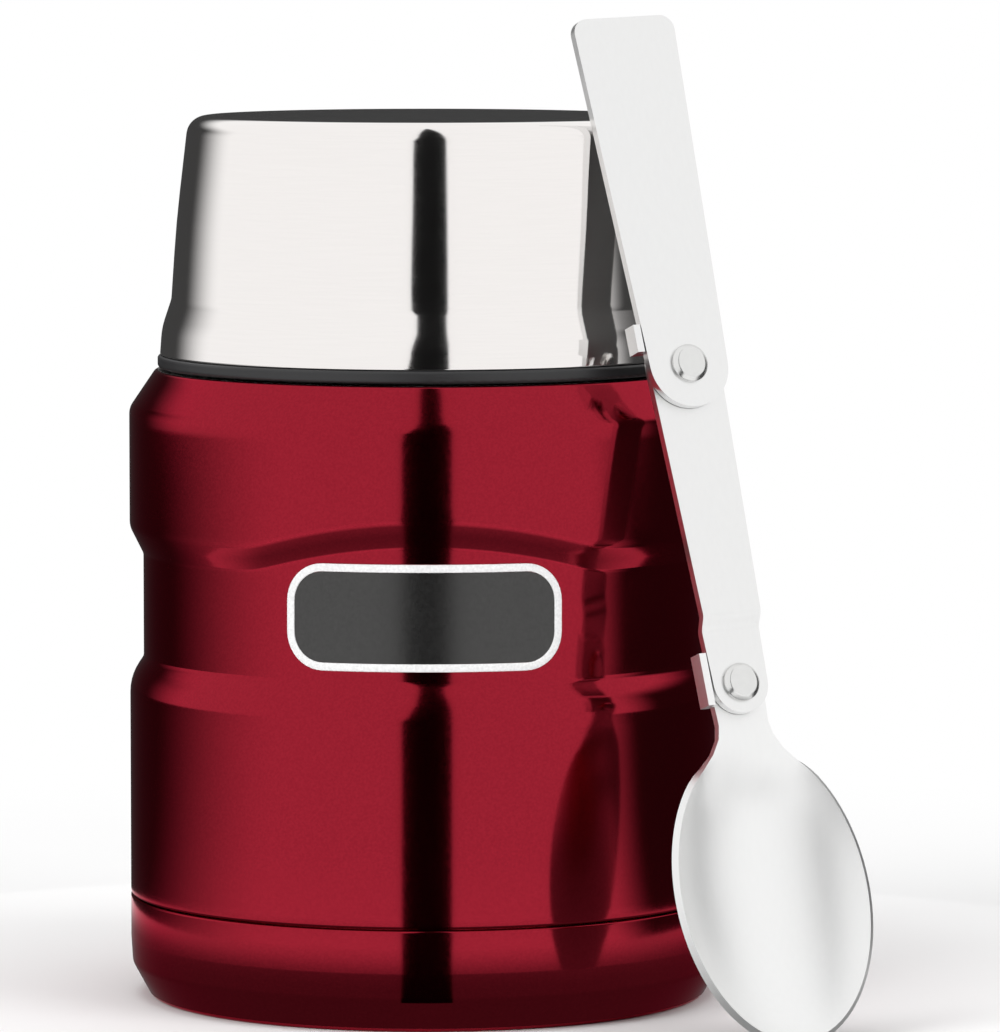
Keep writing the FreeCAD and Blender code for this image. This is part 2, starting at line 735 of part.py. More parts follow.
def main():
    placement = spoon_placement()
    spoon = {
        "spoon_scoop": spoon_scoop(),
        "spoon_link": spoon_link(),
        "spoon_grip": spoon_grip(),
        "lower_rivet": rivet(0, neck_back, plate - leaf_pitch),
        "upper_rivet": rivet(link_length, 0, leaf_pitch + plate),
    }
    pieces = {
        "outer_wall": outer_wall(),
        "base_cup": base_cup(),
        "outer_bottom": outer_bottom(),
        "vacuum_plug": vacuum_plug(),
        "getter_cup": getter_cup(),
        "getter": getter(),
        "inner_wall": inner_wall(),
        "inner_bottom": inner_bottom(),
        "heat_shield": heat_shield(),
        "badge_plate": badge_plate(),
        "badge_border": badge_border(),
        "lid_shell": lid_shell(),
        "lid_bowl": lid_bowl(),
        "stopper_body": stopper_body(),
        "stopper_tray": stopper_tray(),
        "stopper_foam": stopper_foam(),
        "stopper_seal": stopper_seal(),
    }
    os.makedirs("parts", exist_ok=True)
    for name, shape in spoon.items():
        shape.Placement = placement
        pieces[name] = shape
    for name, shape in pieces.items():
        shape.exportStep(os.path.join("parts", name + ".step"))
    for title, point in (("lower rivet", Vector(0, 0, 0)), ("upper rivet", Vector(0, link_length, 0))):
        print(title, [round(v / 1000, 6) for v in placement.multVec(point)])
    for title, way in (("across", Vector(1, 0, 0)), ("along", Vector(0, 1, 0)), ("face", Vector(0, 0, 1))):
        print(title, [round(v, 6) for v in placement.Rotation.multVec(way)])


main()
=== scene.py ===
import bpy
import json
import math
from mathutils import Matrix, Vector


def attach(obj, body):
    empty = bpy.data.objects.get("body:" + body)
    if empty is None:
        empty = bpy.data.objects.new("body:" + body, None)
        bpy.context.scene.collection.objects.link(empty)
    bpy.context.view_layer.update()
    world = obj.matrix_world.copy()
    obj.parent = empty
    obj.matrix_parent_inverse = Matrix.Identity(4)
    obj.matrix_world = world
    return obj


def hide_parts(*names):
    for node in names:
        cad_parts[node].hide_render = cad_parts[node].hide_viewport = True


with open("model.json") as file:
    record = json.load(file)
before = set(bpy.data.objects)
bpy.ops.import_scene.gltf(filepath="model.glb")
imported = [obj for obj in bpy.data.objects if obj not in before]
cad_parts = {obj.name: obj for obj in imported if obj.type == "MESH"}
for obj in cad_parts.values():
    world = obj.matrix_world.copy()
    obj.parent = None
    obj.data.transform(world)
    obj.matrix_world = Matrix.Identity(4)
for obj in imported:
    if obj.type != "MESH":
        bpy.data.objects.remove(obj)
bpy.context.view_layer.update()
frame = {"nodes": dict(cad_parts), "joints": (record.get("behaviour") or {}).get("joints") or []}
nodes = frame["nodes"]
joints = {joint["name"]: joint for joint in frame["joints"]}

mm = 0.001  # the pieces' own sizes are in millimetres
hair = 0.001  # in millimetres: places nearer than this are the same place
mergeGap = {"turned": 0.000004, "shaped": 0.000002, "copied": 0.000001}  # in metres


# Materials. Each has its own fine pattern on object coordinates.
grain = {
    "noise": (0.3, 0.7),    # the noise's usual low and high
    "tint": (0.35, 0.65),   # where the darker and the lighter colour stand on it
    "distance": 0.00004,
}

lacquer = {
    "colour": (0.29, 0.011, 0.025),
    "dark": (0.29, 0.011, 0.0245),
    "light": (0.33, 0.014, 0.029),
    "edge": (1.0, 0.5, 0.55, 1.0),
    "roughness": (0.09, 0.12),
    "coat": 0.05,
    "coatRoughness": 0.04,
    "flakes": 2600.0,
    "bump": 0.01,
}

steels = {
    "polishedSteel": {
        "colour": (0.9, 0.87, 0.852), "wrap": "round", "scale": (5, 500, 4200),
        "roughness": (0.06, 0.09), "bump": 0.01, "dimmest": 0.985,
    },
    "satinSteel": {
        "colour": (0.62, 0.61, 0.6), "wrap": "round", "scale": (8, 900, 5200),
        "roughness": (0.24, 0.36), "bump": 0.25, "dimmest": 0.94,
    },
    "spoonSteel": {
        "colour": (0.88, 0.88, 0.875), "wrap": "flat", "scale": (1500, 1500, 260),
        "roughness": (0.3, 0.34), "bump": 0.006, "dimmest": 0.985,
    },
    # The spoon's own steel, painted lighter for the scoop's bowl: painted light. It is also rougher.
    "scoopSteelPaintedLighter": {
        "colour": (0.95, 0.95, 0.945), "wrap": "flat", "scale": (1500, 1500, 260),
        "roughness": (0.42, 0.46), "bump": 0.004, "dimmest": 0.99,
    },
    "rivetSteel": {
        "colour": (0.78, 0.78, 0.77), "wrap": "flat", "scale": (900, 900, 900),
        "roughness": (0.2, 0.26), "bump": 0.03, "dimmest": 0.97,
    },
}

plains = {
    "foil": {
        "colour": (0.88, 0.88, 0.88), "metallic": 1.0, "scale": 260.0,
        "roughness": (0.05, 0.16), "bump": 0.5, "distance": 0.0003,
    },
    "solder": {
        "colour": (0.5, 0.49, 0.47), "metallic": 1.0, "scale": 900.0,
        "roughness": (0.35, 0.5), "bump": 0.3,
    },
    "getterMetal": {
        "colour": (0.13, 0.13, 0.135), "metallic": 1.0, "scale": 3000.0,
        "roughness": (0.55, 0.8), "bump": 0.6,
    },
    "blackPlastic": {
        "colour": (0.016, 0.016, 0.017), "metallic": 0.0, "scale": 3800.0,
        "roughness": (0.34, 0.46), "bump": 0.18,
    },
    "sealSilicone": {
        "colour": (0.28, 0.28, 0.28), "metallic": 0.0, "scale": 1500.0,
        "roughness": (0.42, 0.55), "bump": 0.1, "Subsurface_Weight": 0.1,
    },
    "foam": {
        "colour": (0.78, 0.76, 0.68), "metallic": 0.0, "scale": 1400.0,
        "roughness": (0.85, 0.95), "bump": 0.8, "distance": 0.0002,
    },
    "badgeField": {
        "colour": (0.07, 0.069, 0.068), "metallic": 0.85, "scale": 2200.0,
        "roughness": (0.2, 0.24), "bump": 0.01,
    },
    "badgeWhite": {
        "colour": (0.82, 0.82, 0.82), "metallic": 0.0, "scale": 2400.0,
        "roughness": (0.16, 0.24), "bump": 0.03,
    },
}
plainDimmest = 0.85


def startMaterial(name, colour, metallic, roughness, **sockets):
    material = bpy.data.materials.new(name)
    material.use_nodes = True
    shader = material.node_tree.nodes["Principled BSDF"]
    shader.inputs["Base Color"].default_value = (*colour, 1.0)
    shader.inputs["Metallic"].default_value = metallic
    shader.inputs["Roughness"].default_value = roughness
    for socket, value in sockets.items():
        shader.inputs[socket.replace("_", " ")].default_value = value
    return material, shader


def addNode(owner, kind, **settings):
    node = owner.node_tree.nodes.new(kind)
    for key, value in settings.items():
        setattr(node, key, value)
    return node


def grainVector(material, wrap, scale=(1, 1, 1)):
    # "round" wraps the grain about the jar's axis, "flat" keeps it in line with the scaled axes
    links = material.node_tree.links
    place = addNode(material, "ShaderNodeTexCoord")
    mapping = addNode(material, "ShaderNodeMapping")
    mapping.inputs["Scale"].default_value = scale
    if wrap == "flat":
        links.new(place.outputs["Object"], mapping.inputs["Vector"])
        return mapping
    split = addNode(material, "ShaderNodeSeparateXYZ")
    links.new(place.outputs["Object"], split.inputs[0])
    angle = addNode(material, "ShaderNodeMath", operation="ARCTAN2")
    links.new(split.outputs["Y"], angle.inputs[0])
    links.new(split.outputs["X"], angle.inputs[1])
    flat = addNode(material, "ShaderNodeCombineXYZ")
    links.new(split.outputs["X"], flat.inputs["X"])
    links.new(split.outputs["Y"], flat.inputs["Y"])
    radius = addNode(material, "ShaderNodeVectorMath", operation="LENGTH")
    links.new(flat.outputs[0], radius.inputs[0])
    rolled = addNode(material, "ShaderNodeCombineXYZ")
    links.new(angle.outputs[0], rolled.inputs["X"])
    links.new(radius.outputs["Value"], rolled.inputs["Y"])
    links.new(split.outputs["Z"], rolled.inputs["Z"])
    links.new(rolled.outputs[0], mapping.inputs["Vector"])
    return mapping


def addGrain(material, shader, vector, scale, roughness, bump, detail=4.0, distance=grain["distance"]):
    # Noise that varies the roughness between two values and raises a faint bump
    links = material.node_tree.links
    noise = addNode(material, "ShaderNodeTexNoise")
    noise.inputs["Scale"].default_value = scale
    noise.inputs["Detail"].default_value = detail
    links.new(vector.outputs[0], noise.inputs["Vector"])
    spread = addNode(material, "ShaderNodeMapRange")
    spread.inputs["From Min"].default_value = grain["noise"][0]
    spread.inputs["From Max"].default_value = grain["noise"][1]
    spread.inputs["To Min"].default_value = roughness[0]
    spread.inputs["To Max"].default_value = roughness[1]
    links.new(noise.outputs["Fac"], spread.inputs["Value"])
    links.new(spread.outputs[0], shader.inputs["Roughness"])
    raised = addNode(material, "ShaderNodeBump")
    raised.inputs["Strength"].default_value = bump
    raised.inputs["Distance"].default_value = distance
    links.new(noise.outputs["Fac"], raised.inputs["Height"])
    links.new(raised.outputs["Normal"], shader.inputs["Normal"])
    return noise


def addTint(material, shader, noise, dark, light):
    links = material.node_tree.links
    ramp = addNode(material, "ShaderNodeValToRGB")
    for stop, position, colour in zip(ramp.color_ramp.elements, grain["tint"], (dark, light)):
        stop.position = position
        stop.color = (*colour, 1.0)
    links.new(noise.outputs["Fac"], ramp.inputs["Fac"])
    links.new(ramp.outputs["Color"], shader.inputs["Base Color"])


def makeLacquer():
    material, shader = startMaterial(
        "redLacquer", lacquer["colour"], metallic=1.0, roughness=lacquer["roughness"][0],
        Coat_Weight=lacquer["coat"], Coat_Roughness=lacquer["coatRoughness"], Specular_Tint=lacquer["edge"])
    flakes = grainVector(material, "flat")
    noise = addGrain(material, shader, flakes, lacquer["flakes"], lacquer["roughness"], lacquer["bump"])
    addTint(material, shader, noise, lacquer["dark"], lacquer["light"])
    return material


def makeSteel(name, colour, wrap, scale, roughness, bump, dimmest):
    material, shader = startMaterial(name, colour, metallic=1.0, roughness=roughness[0])
    vector = grainVector(material, wrap, scale)
    noise = addGrain(material, shader, vector, scale=1.0, roughness=roughness, bump=bump, detail=6.0)
    addTint(material, shader, noise, tuple(value * dimmest for value in colour), colour)
    return material


def makePlain(name, colour, metallic, scale, roughness, bump, distance=grain["distance"], **sockets):
    material, shader = startMaterial(name, colour, metallic, roughness[0], **sockets)
    vector = grainVector(material, "flat")
    noise = addGrain(material, shader, vector, scale, roughness, bump, distance=distance)
    addTint(material, shader, noise, tuple(value * plainDimmest for value in colour), colour)
    return material


finishes = {"redLacquer": makeLacquer()}
for name, settings in steels.items():
    finishes[name] = makeSteel(name, **settings)
for name, settings in plains.items():
    finishes[name] = makePlain(name, **settings)
print("finishes made")


# Small helpers for modelling
def deselectAll():
    if bpy.context.mode != "OBJECT":
        bpy.ops.object.mode_set(mode="OBJECT")
    bpy.ops.object.select_all(action="DESELECT")


def activate(obj):
    deselectAll()
    obj.select_set(True)
    bpy.context.view_layer.objects.active = obj


def editMode(select):
    bpy.ops.object.mode_set(mode="EDIT")
    bpy.ops.mesh.select_all(action=select)


def objectMode():
    bpy.ops.object.mode_set(mode="OBJECT")


def startPiece(name):
    # Takes the primitive that was just added and gives it and its mesh the piece's name
    obj = bpy.context.object
    obj.name = name
    obj.data.name = name
    return obj


def smooth(obj, angle=35):
    activate(obj)
    bpy.ops.object.shade_smooth_by_angle(angle=math.radians(angle))


def applyModifier(obj, kind, **settings):
    activate(obj)
    modifier = obj.modifiers.new(kind.title(), kind)
    for key, value in settings.items():
        setattr(modifier, key, value)
    bpy.ops.object.modifier_apply(modifier=modifier.name)


def bevelEdges(obj, width, segments=3, angle=40):
    applyModifier(
        obj, "BEVEL", width=width * mm, segments=segments, limit_method="ANGLE",
        angle_limit=math.radians(angle), harden_normals=False, miter_outer="MITER_ARC")


def combine(obj, other, operation="UNION"):
    applyModifier(obj, "BOOLEAN", object=other, operation=operation, solver="EXACT")
    bpy.data.objects.remove(other)


def finishPiece(obj, body, finish, slotName, *replaced):
    obj.data.materials.clear()
    obj.data.materials.append(finishes[finish])
    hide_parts(*replaced)
    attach(obj, body)


def recalculate(obj):
    activate(obj)
    editMode("SELECT")
    bpy.ops.mesh.remove_doubles(threshold=mergeGap["shaped"])
    bpy.ops.mesh.normals_make_consistent(inside=False)
    objectMode()


def easeBetween(value, low, high):
    t = min(max((value - low) / (high - low), 0.0), 1.0)
    return t * t * (3 - 2 * t)


# Turned pieces: a chain of corners (radius, height, rounding) becomes a profile, and the profile is spun
def roundedChain(corners, turnStep=7.5):
    points = []
    last = len(corners) - 1
    for i, (radius, height, rounding) in enumerate(corners):
        here = Vector((radius, height))
        if rounding <= 0 or i in (0, last):
            points.append(here)
            continue
        back = (Vector(corners[i - 1][:2]) - here).normalized()
        ahead = (Vector(corners[i + 1][:2]) - here).normalized()
        turn = math.pi - back.angle(ahead)
        reach = rounding * math.tan(turn / 2)
        centre = here + (back + ahead).normalized() * rounding / math.cos(turn / 2)
        start = here + back * reach - centre
        stop = here + ahead * reach - centre
        first = math.atan2(start.y, start.x)
        sweep = (math.atan2(stop.y, stop.x) - first + math.pi) % math.tau - math.pi
        steps = max(2, math.ceil(math.degrees(turn) / turnStep))
        for k in range(steps + 1):
            angle = first + sweep * k / steps
            points.append(centre + Vector((math.cos(angle), math.sin(angle))) * rounding)
    return points


def divided(points, longest):
    # Splits long straight runs so that a later change of shape is smooth
    result = [points[0]]
    for before, here in zip(points, points[1:]):
        pieces = max(1, math.ceil((here - before).length / longest))
        result += [before.lerp(here, k / pieces) for k in range(1, pieces + 1)]
    return result


def lathe(name, points, segments):
    # A plane is merged to one point, and that point is extruded along the profile and spun
    deselectAll()
    bpy.ops.mesh.primitive_plane_add(size=mm, location=(0, 0, 0))
    obj = startPiece(name)
    editMode("SELECT")
    bpy.ops.mesh.merge(type="CENTER")
    bpy.ops.transform.translate(value=(points[0].x * mm, 0, points[0].y * mm))
    for before, here in zip(points, points[1:]):
        step = (here - before) * mm
        bpy.ops.mesh.extrude_region_move(TRANSFORM_OT_translate={"value": (step.x, 0, step.y)})
    bpy.ops.mesh.select_all(action="SELECT")
    bpy.ops.mesh.spin(steps=segments, angle=math.tau, center=(0, 0, 0), axis=(0, 0, 1))
    bpy.ops.mesh.select_all(action="SELECT")
    bpy.ops.mesh.remove_doubles(threshold=mergeGap["turned"])
    bpy.ops.mesh.normals_make_consistent(inside=False)
    objectMode()
    return obj


# The red wall, from its lower end inside the base cup up to the mouth
wall = {
    "outside": [
        (47.0, 7.0, 0), (47.0, 16.6, 0), (48.0, 16.6, 0.45), (48.0, 51.5, 8.0), (45.8, 54.8, 1.6),
        (45.8, 71.6, 1.6), (48.0, 76.0, 3.5), (48.0, 95.0, 3.0), (43.8, 101.2, 0.8), (36.3, 101.2, 0.8),
        (36.3, 118.5, 0.45), (34.5, 118.5, 0), (34.5, 116.0, 0),
    ],
    "inside": [
        (35.8, 116.0), (35.8, 100.7), (43.4, 100.7), (47.3, 94.9), (47.5, 93.5), (47.5, 76.3), (45.3, 71.8),
        (45.3, 54.9), (47.5, 51.0), (47.5, 17.1), (46.5, 17.1), (46.5, 7.0), (47.0, 7.0),
    ],
    "longestOutside": 2.0,
    "longestInside": 4.0,
    "segments": 288,
    "archRise": 4.5,
    "archHalfWidth": 26.0,
    "archSoftness": 0.35,
    "archGrows": (57, 70),    # heights between which the arch comes in
    "archFades": (78, 94),    # and goes out again
    "archRatio": 45.8 / 47.5,    # measures across on the waist's radius instead of the wall's
    "paintTop": 101.0,
    "paintRadius": 43.0,
}

lugs = {
    "count": 4,
    "angle": 38.0,
    "lead": 15.0,
    "width": 2.4,
    "root": 36.1,
    "crest": 37.8,
    "middle": 108.5,
    "steps": 14,
    "rounding": 0.3,
}


def makeLug(number):
    # A ridge that climbs round the neck: its four-cornered end is spun, and then it gets its rise
    sweep = math.radians(lugs["angle"])
    start = math.radians(-lugs["angle"] / 2 + number * 360 / lugs["count"])
    rise = lugs["lead"] * lugs["angle"] / 360
    half = lugs["width"] / 2
    section = [
        (lugs["root"], -half), (lugs["crest"], -half / 2), (lugs["crest"], half / 2), (lugs["root"], half),
    ]
    deselectAll()
    bpy.ops.mesh.primitive_circle_add(vertices=4, radius=mm, fill_type="NGON", location=(0, 0, 0))
    ridge = bpy.context.object
    for vertex, (radius, height) in zip(ridge.data.vertices, section):
        vertex.co = Vector((radius * math.cos(start), radius * math.sin(start), height)) * mm
    editMode("SELECT")
    bpy.ops.mesh.spin(steps=lugs["steps"], angle=sweep, center=(0, 0, 0), axis=(0, 0, 1))
    bpy.ops.mesh.select_all(action="SELECT")
    bpy.ops.mesh.normals_make_consistent(inside=False)
    objectMode()
    angles = []
    for vertex in ridge.data.vertices:
        angles.append((math.atan2(vertex.co.y, vertex.co.x) - start + math.pi) % math.tau - math.pi)
    turnedBack = max(angles) <= -min(angles)  # spin may turn either way
    for vertex, turned in zip(ridge.data.vertices, angles):
        if turnedBack:
            vertex.co = Matrix.Rotation(sweep, 4, "Z") @ vertex.co
            turned += sweep
        vertex.co.z += (lugs["middle"] - rise / 2 + rise * turned / sweep) * mm
    recalculate(ridge)
    bevelEdges(ridge, lugs["rounding"], segments=2, angle=30)
    return ridge


def archRise(x):
    # The waist's upper step rises along a circle over the badge, with a soft start at each side
    circle = (wall["archHalfWidth"] ** 2 + wall["archRise"] ** 2) / (2 * wall["archRise"])
    rise = wall["archRise"] - circle + math.sqrt(circle * circle - x * x)
    return wall["archSoftness"] * math.log1p(math.exp(rise / wall["archSoftness"]))


def makeOuterWall():
    outside = divided(roundedChain(wall["outside"]), wall["longestOutside"])
    inside = divided([Vector(point) for point in wall["inside"]], wall["longestInside"])
    obj = lathe("outerWall", outside + inside, wall["segments"])
    for vertex in obj.data.vertices:
        if vertex.co.y > 0:  # the arch is on the front only
            continue
        height = vertex.co.z / mm
        weight = easeBetween(height, *wall["archGrows"]) * (1 - easeBetween(height, *wall["archFades"]))
        vertex.co.z += archRise(vertex.co.x / mm * wall["archRatio"]) * weight * mm
    for number in range(lugs["count"]):
        ridge = makeLug(number)
        activate(obj)
        ridge.select_set(True)
        bpy.ops.object.join()
    finishPiece(obj, "vessel", "redLacquer", "red_lacquer", "outer_wall")
    obj.data.materials.append(finishes["satinSteel"])  # the neck and the ledge under the lid are bare
    for face in obj.data.polygons:
        radius = math.hypot(face.center.x, face.center.y) / mm
        if face.center.z > wall["paintTop"] * mm and radius < wall["paintRadius"]:
            face.material_index = 1
    smooth(obj)


# The base cup with its foot ring
cup = {
    "outside": [
        (0, 1.6, 0), (38.5, 1.6, 1.2), (39.8, 0, 0.8), (44.8, 0, 1.0), (47.75, 5.4, 2.4), (48.0, 9.5, 6.0),
        (48.0, 16.4, 0.35), (47.5, 16.4, 0),
    ],
    "inside": [
        (47.5, 16.4, 0), (47.5, 9.5, 5.5), (47.25, 5.5, 1.9), (44.5, 0.5, 0.5), (40.05, 0.5, 0),
        (38.75, 2.1, 0), (0, 2.1, 0),
    ],
    "longest": 4.0,
    "segments": 288,
}


def makeBaseCup():
    points = roundedChain(cup["outside"]) + roundedChain(cup["inside"])[1:]
    obj = lathe("baseCup", divided(points, cup["longest"]), cup["segments"])
    finishPiece(obj, "vessel", "redLacquer", "red_lacquer", "base_cup")
    smooth(obj)


# The lid's steel
lid = {
    "outside": [
        (42.5, 103.6, 0), (43.0, 103.6, 0.3), (42.7, 107.9, 12.0), (41.15, 112.5, 4.0),
        (40.3, 124.9, 200.0), (38.3, 142.0, 3.2), (0, 142.0, 0),
    ],
    "inside": [
        (0, 141.5), (35.4, 141.5), (37.2, 140.6), (37.85, 139.0),
        (39.8, 124.9), (40.65, 112.6), (42.2, 108.0), (42.5, 103.6),
    ],
    "turnStep": 5.0,
    "longest": 3.0,
    "segments": 288,
}


def makeLidShell():
    outside = divided(roundedChain(lid["outside"], lid["turnStep"]), lid["longest"])
    inside = [Vector(point) for point in lid["inside"]]
    obj = lathe("lidShell", outside + inside, lid["segments"])
    finishPiece(obj, "lid", "polishedSteel", "polished_steel", "lid_shell")
    smooth(obj)


makeOuterWall()
makeBaseCup()
makeLidShell()
print("jar outside done")


# Pieces that keep the frame's own shape
copies = {
    "lidBowl": ("lid_bowl", "lid", "blackPlastic", "black_plastic"),
    "innerWall": ("inner_wall", "vessel", "satinSteel", "satin_steel"),
    "innerBottom": ("inner_bottom", "vessel", "satinSteel", "satin_steel"),
    "stopperBody": ("stopper_body", "stopper", "blackPlastic", "black_plastic"),
    "stopperTray": ("stopper_tray", "stopper", "blackPlastic", "black_plastic"),
    "stopperSeal": ("stopper_seal", "stopper", "sealSilicone", "seal_silicone"),
}

dressed = {
    "heat_shield": "foil",
    "outer_bottom": "satinSteel",
    "vacuum_plug": "solder",
    "getter_cup": "satinSteel",
    "getter": "getterMetal",
    "stopper_foam": "foam",
}


def smoothCopy(name, node, body, finish, slotName):
    # Its loose triangles are merged and their normals weighted, so that its curves shade smoothly
    obj = bpy.data.objects.new(name, nodes[node].data.copy())
    bpy.context.scene.collection.objects.link(obj)
    activate(obj)
    editMode("SELECT")
    bpy.ops.mesh.remove_doubles(threshold=mergeGap["copied"])
    objectMode()
    finishPiece(obj, body, finish, slotName, node)
    smooth(obj, angle=28)
    applyModifier(obj, "WEIGHTED_NORMAL", keep_sharp=True, weight=50)


for name, settings in copies.items():
    smoothCopy(name, *settings)
for node, finish in dressed.items():
    nodes[node].material_slots[0].material = finishes[finish]
print("lid, stopper and inner pieces done")


# The badge lies on the waist: it is shaped flat, then wrapped
badge = {
    "width": 44.2,
    "height": 16.8,
    "corner": 6.0,
    "centre": 65.2,
    "radius": 45.85,
    "border": 1.25,
    "thickness": 0.4,
    "proud": 0.15,
    "gap": 0.05,           # between the border and the plate
    "edge": 0.14,
    "straightSteps": 24,
    "cornerSteps": 10,
    "grid": (60, 24),
}


def wrapOnWaist(obj):
    for vertex in obj.data.vertices:
        angle = vertex.co.x / (badge["radius"] * mm)
        out = badge["radius"] * mm + vertex.co.z
        height = vertex.co.y + badge["centre"] * mm
        vertex.co = Vector((out * math.sin(angle), -out * math.cos(angle), height))
    recalculate(obj)


def roundedRectangle(inset):
    # Points round a rounded rectangle, the same number on every side whatever the inset
    radius = badge["corner"] - inset
    across = badge["width"] / 2 - badge["corner"]
    up = badge["height"] / 2 - badge["corner"]
    centres = ((across, up), (-across, up), (-across, -up), (across, -up))
    arc = badge["cornerSteps"]
    straight = badge["straightSteps"]
    points = []
    for quarter, (x, y) in enumerate(centres):
        for k in range(arc + 1):
            angle = math.pi / 2 * (quarter + k / arc)
            points.append(Vector((x + radius * math.cos(angle), y + radius * math.sin(angle))))
        nextX, nextY = centres[(quarter + 1) % 4]
        stop = math.pi / 2 * (quarter + 1)
        start = points[-1]
        goal = Vector((nextX + radius * math.cos(stop), nextY + radius * math.sin(stop)))
        points += [start.lerp(goal, k / straight) for k in range(1, straight)]
    return points


def thicken(obj, thickness):
    # Solidify both ways, then lift the piece so that its back stays where it was drawn
    applyModifier(obj, "SOLIDIFY", thickness=thickness * mm, offset=0)
    for vertex in obj.data.vertices:
        vertex.co.z += thickness * mm / 2


def makeBadgeBorder():
    outer = roundedRectangle(0)
    inner = roundedRectangle(badge["border"])
    deselectAll()
    bpy.ops.mesh.primitive_circle_add(vertices=len(outer), radius=badge["corner"] * mm, location=(0, 0, 0))
    obj = startPiece("badgeBorder")
    for vertex, point in zip(obj.data.vertices, outer):
        vertex.co = (point.x * mm, point.y * mm, 0)
    editMode("SELECT")
    bpy.ops.mesh.extrude_region_move(TRANSFORM_OT_translate={"value": (0, 0, 0)})
    objectMode()
    for vertex, point in zip(obj.data.vertices[len(outer):], inner):
        vertex.co = (point.x * mm, point.y * mm, 0)
    recalculate(obj)
    thicken(obj, badge["thickness"] + badge["proud"])
    bevelEdges(obj, badge["edge"])
    wrapOnWaist(obj)
    finishPiece(obj, "vessel", "badgeWhite", "badge_white", "badge_border")
    smooth(obj)


def makeBadgePlate():
    inset = badge["border"] + badge["gap"]
    width = badge["width"] - 2 * inset
    height = badge["height"] - 2 * inset
    corner = badge["corner"] - inset
    deselectAll()
    columns, rows = badge["grid"]
    bpy.ops.mesh.primitive_grid_add(x_subdivisions=columns, y_subdivisions=rows, size=1, location=(0, 0, 0))
    obj = startPiece("badgePlate")
    for vertex in obj.data.vertices:
        x = vertex.co.x * width
        y = vertex.co.y * height
        beyond = Vector((max(abs(x) - width / 2 + corner, 0), max(abs(y) - height / 2 + corner, 0)))
        if beyond.x > 0 and beyond.y > 0:  # the square corners are drawn in to round ones
            beyond *= max(beyond) / beyond.length
            x = math.copysign(width / 2 - corner + beyond.x, x)
            y = math.copysign(height / 2 - corner + beyond.y, y)
        vertex.co = (x * mm, y * mm, 0)
    thicken(obj, badge["thickness"])
    wrapOnWaist(obj)
    finishPiece(obj, "vessel", "badgeField", "badge_field", "badge_plate")
    smooth(obj)


makeBadgeBorder()
makeBadgePlate()
print("badge done")


# The folding spoon is modelled flat, in millimetres of its own, and then put where its two rivets are.
# Its X runs across, its Y from the lower rivet towards the grip, and its Z out of its face.
spoon = {
    "plate": 1.4,
    "pitch": 1.55,         # from one strip's back to the next one's
    "edge": 0.22,
    "linkLow": 4.8,
    "linkHigh": 6.3,
    "gripLow": 6.9,
    "gripHigh": 8.95,
    "gripLength": 56.8,
    "gripCorner": 2.4,
    "jogStart": 8.8,
    "jogLength": 1.8,
    "jogEase": 0.6,
    "jogCuts": 10,
    "tab": 1.2,
    "tabGap": 0.15,
    "upperTab": (2.5, 6.9),    # from the rivet
    "upperTabRoot": 1.0,
    "lowerTab": (-3.1, 5.2),
    "lowerTabRoot": 2.0,
    "hole": 1.65,
    "holeSides": 48,
    "drillDepth": 20,
    "roundSteps": 12,
    "cornerSteps": 8,
}

rivet = {
    "head": [(3.05, 0, 0), (3.05, 0.5, 0.3), (2.35, 1.15, 0.6), (0, 1.2, 0)],
    "shank": 1.6,
    "gap": 0.025,
    "turnStep": 12,
    "segments": 64,
}

scoop = {
    "halfWidth": 16.35,
    "halfLength": 23.55,
    "centre": -33.1,
    "depth": 6.5,
    "rimDrop": 0.3,
    "wall": 1.1,
    "edge": 0.2,
    "capAngle": 60.0,
    "neckHalf": 4.7,
    "neckWaist": 4.4,
    "neckStart": -6.2,
    "neckSteps": 3,
    "filletSteps": 3,
    "filletAcross": 8.6,
    "flowLength": (0.5, 0.98),   # where the hollow flows out on to the neck, in half lengths
    "flowWidth": (3, 11),
    "flowSoftness": 0.8,
    "slope": (-13, -7),          # where the rim climbs to the neck's face
    "thickening": (-14, -7),
    "points": 96,
    "rings": (0.985, 0.96, 0.925, 0.885, 0.84, 0.79, 0.735, 0.68, 0.62, 0.56, 0.5),
    "neckRows": (-4.6, -3.0, -1.5, 0.0, 1.4, 2.6, 3.5, 4.15, 4.55),
}

lowerRivet = Vector(joints["spoon_lower_fold"]["pos_m"])
upperRivet = Vector(joints["spoon_upper_fold"]["pos_m"])
faceWay = -Vector(joints["spoon_lower_fold"]["axis"]).normalized()
alongWay = (upperRivet - lowerRivet).normalized()
acrossWay = alongWay.cross(faceWay).normalized()
spoonPlace = Matrix((acrossWay, alongWay, faceWay)).transposed().to_4x4()
spoonPlace.translation = lowerRivet
linkLength = (upperRivet - lowerRivet).length / mm
linkBack = -spoon["pitch"]
neckBack = -2 * spoon["pitch"]
neckFace = neckBack + spoon["plate"]
rimHeight = neckFace - scoop["rimDrop"]


def placeSpoonPiece(obj):
    obj.data.transform(Matrix.Scale(mm, 4))
    obj.data.transform(spoonPlace)
    recalculate(obj)


def addBlock(low, high):
    deselectAll()
    low = Vector(low)
    high = Vector(high)
    bpy.ops.mesh.primitive_cube_add(size=1, location=(low + high) / 2, scale=high - low)
    bpy.ops.object.transform_apply(location=True, rotation=False, scale=True)
    return bpy.context.object


def addTab(obj, inner, root, span, back, face, front):
    # An ear in the strip's own thickness, with a tab folded forward along its outer edge
    outer = inner + spoon["tab"]
    ear = addBlock((-outer, span[0], back), (-root, span[1], face))
    tab = addBlock((-outer, span[0], back), (-inner, span[1], front))
    combine(ear, tab)
    combine(obj, ear)


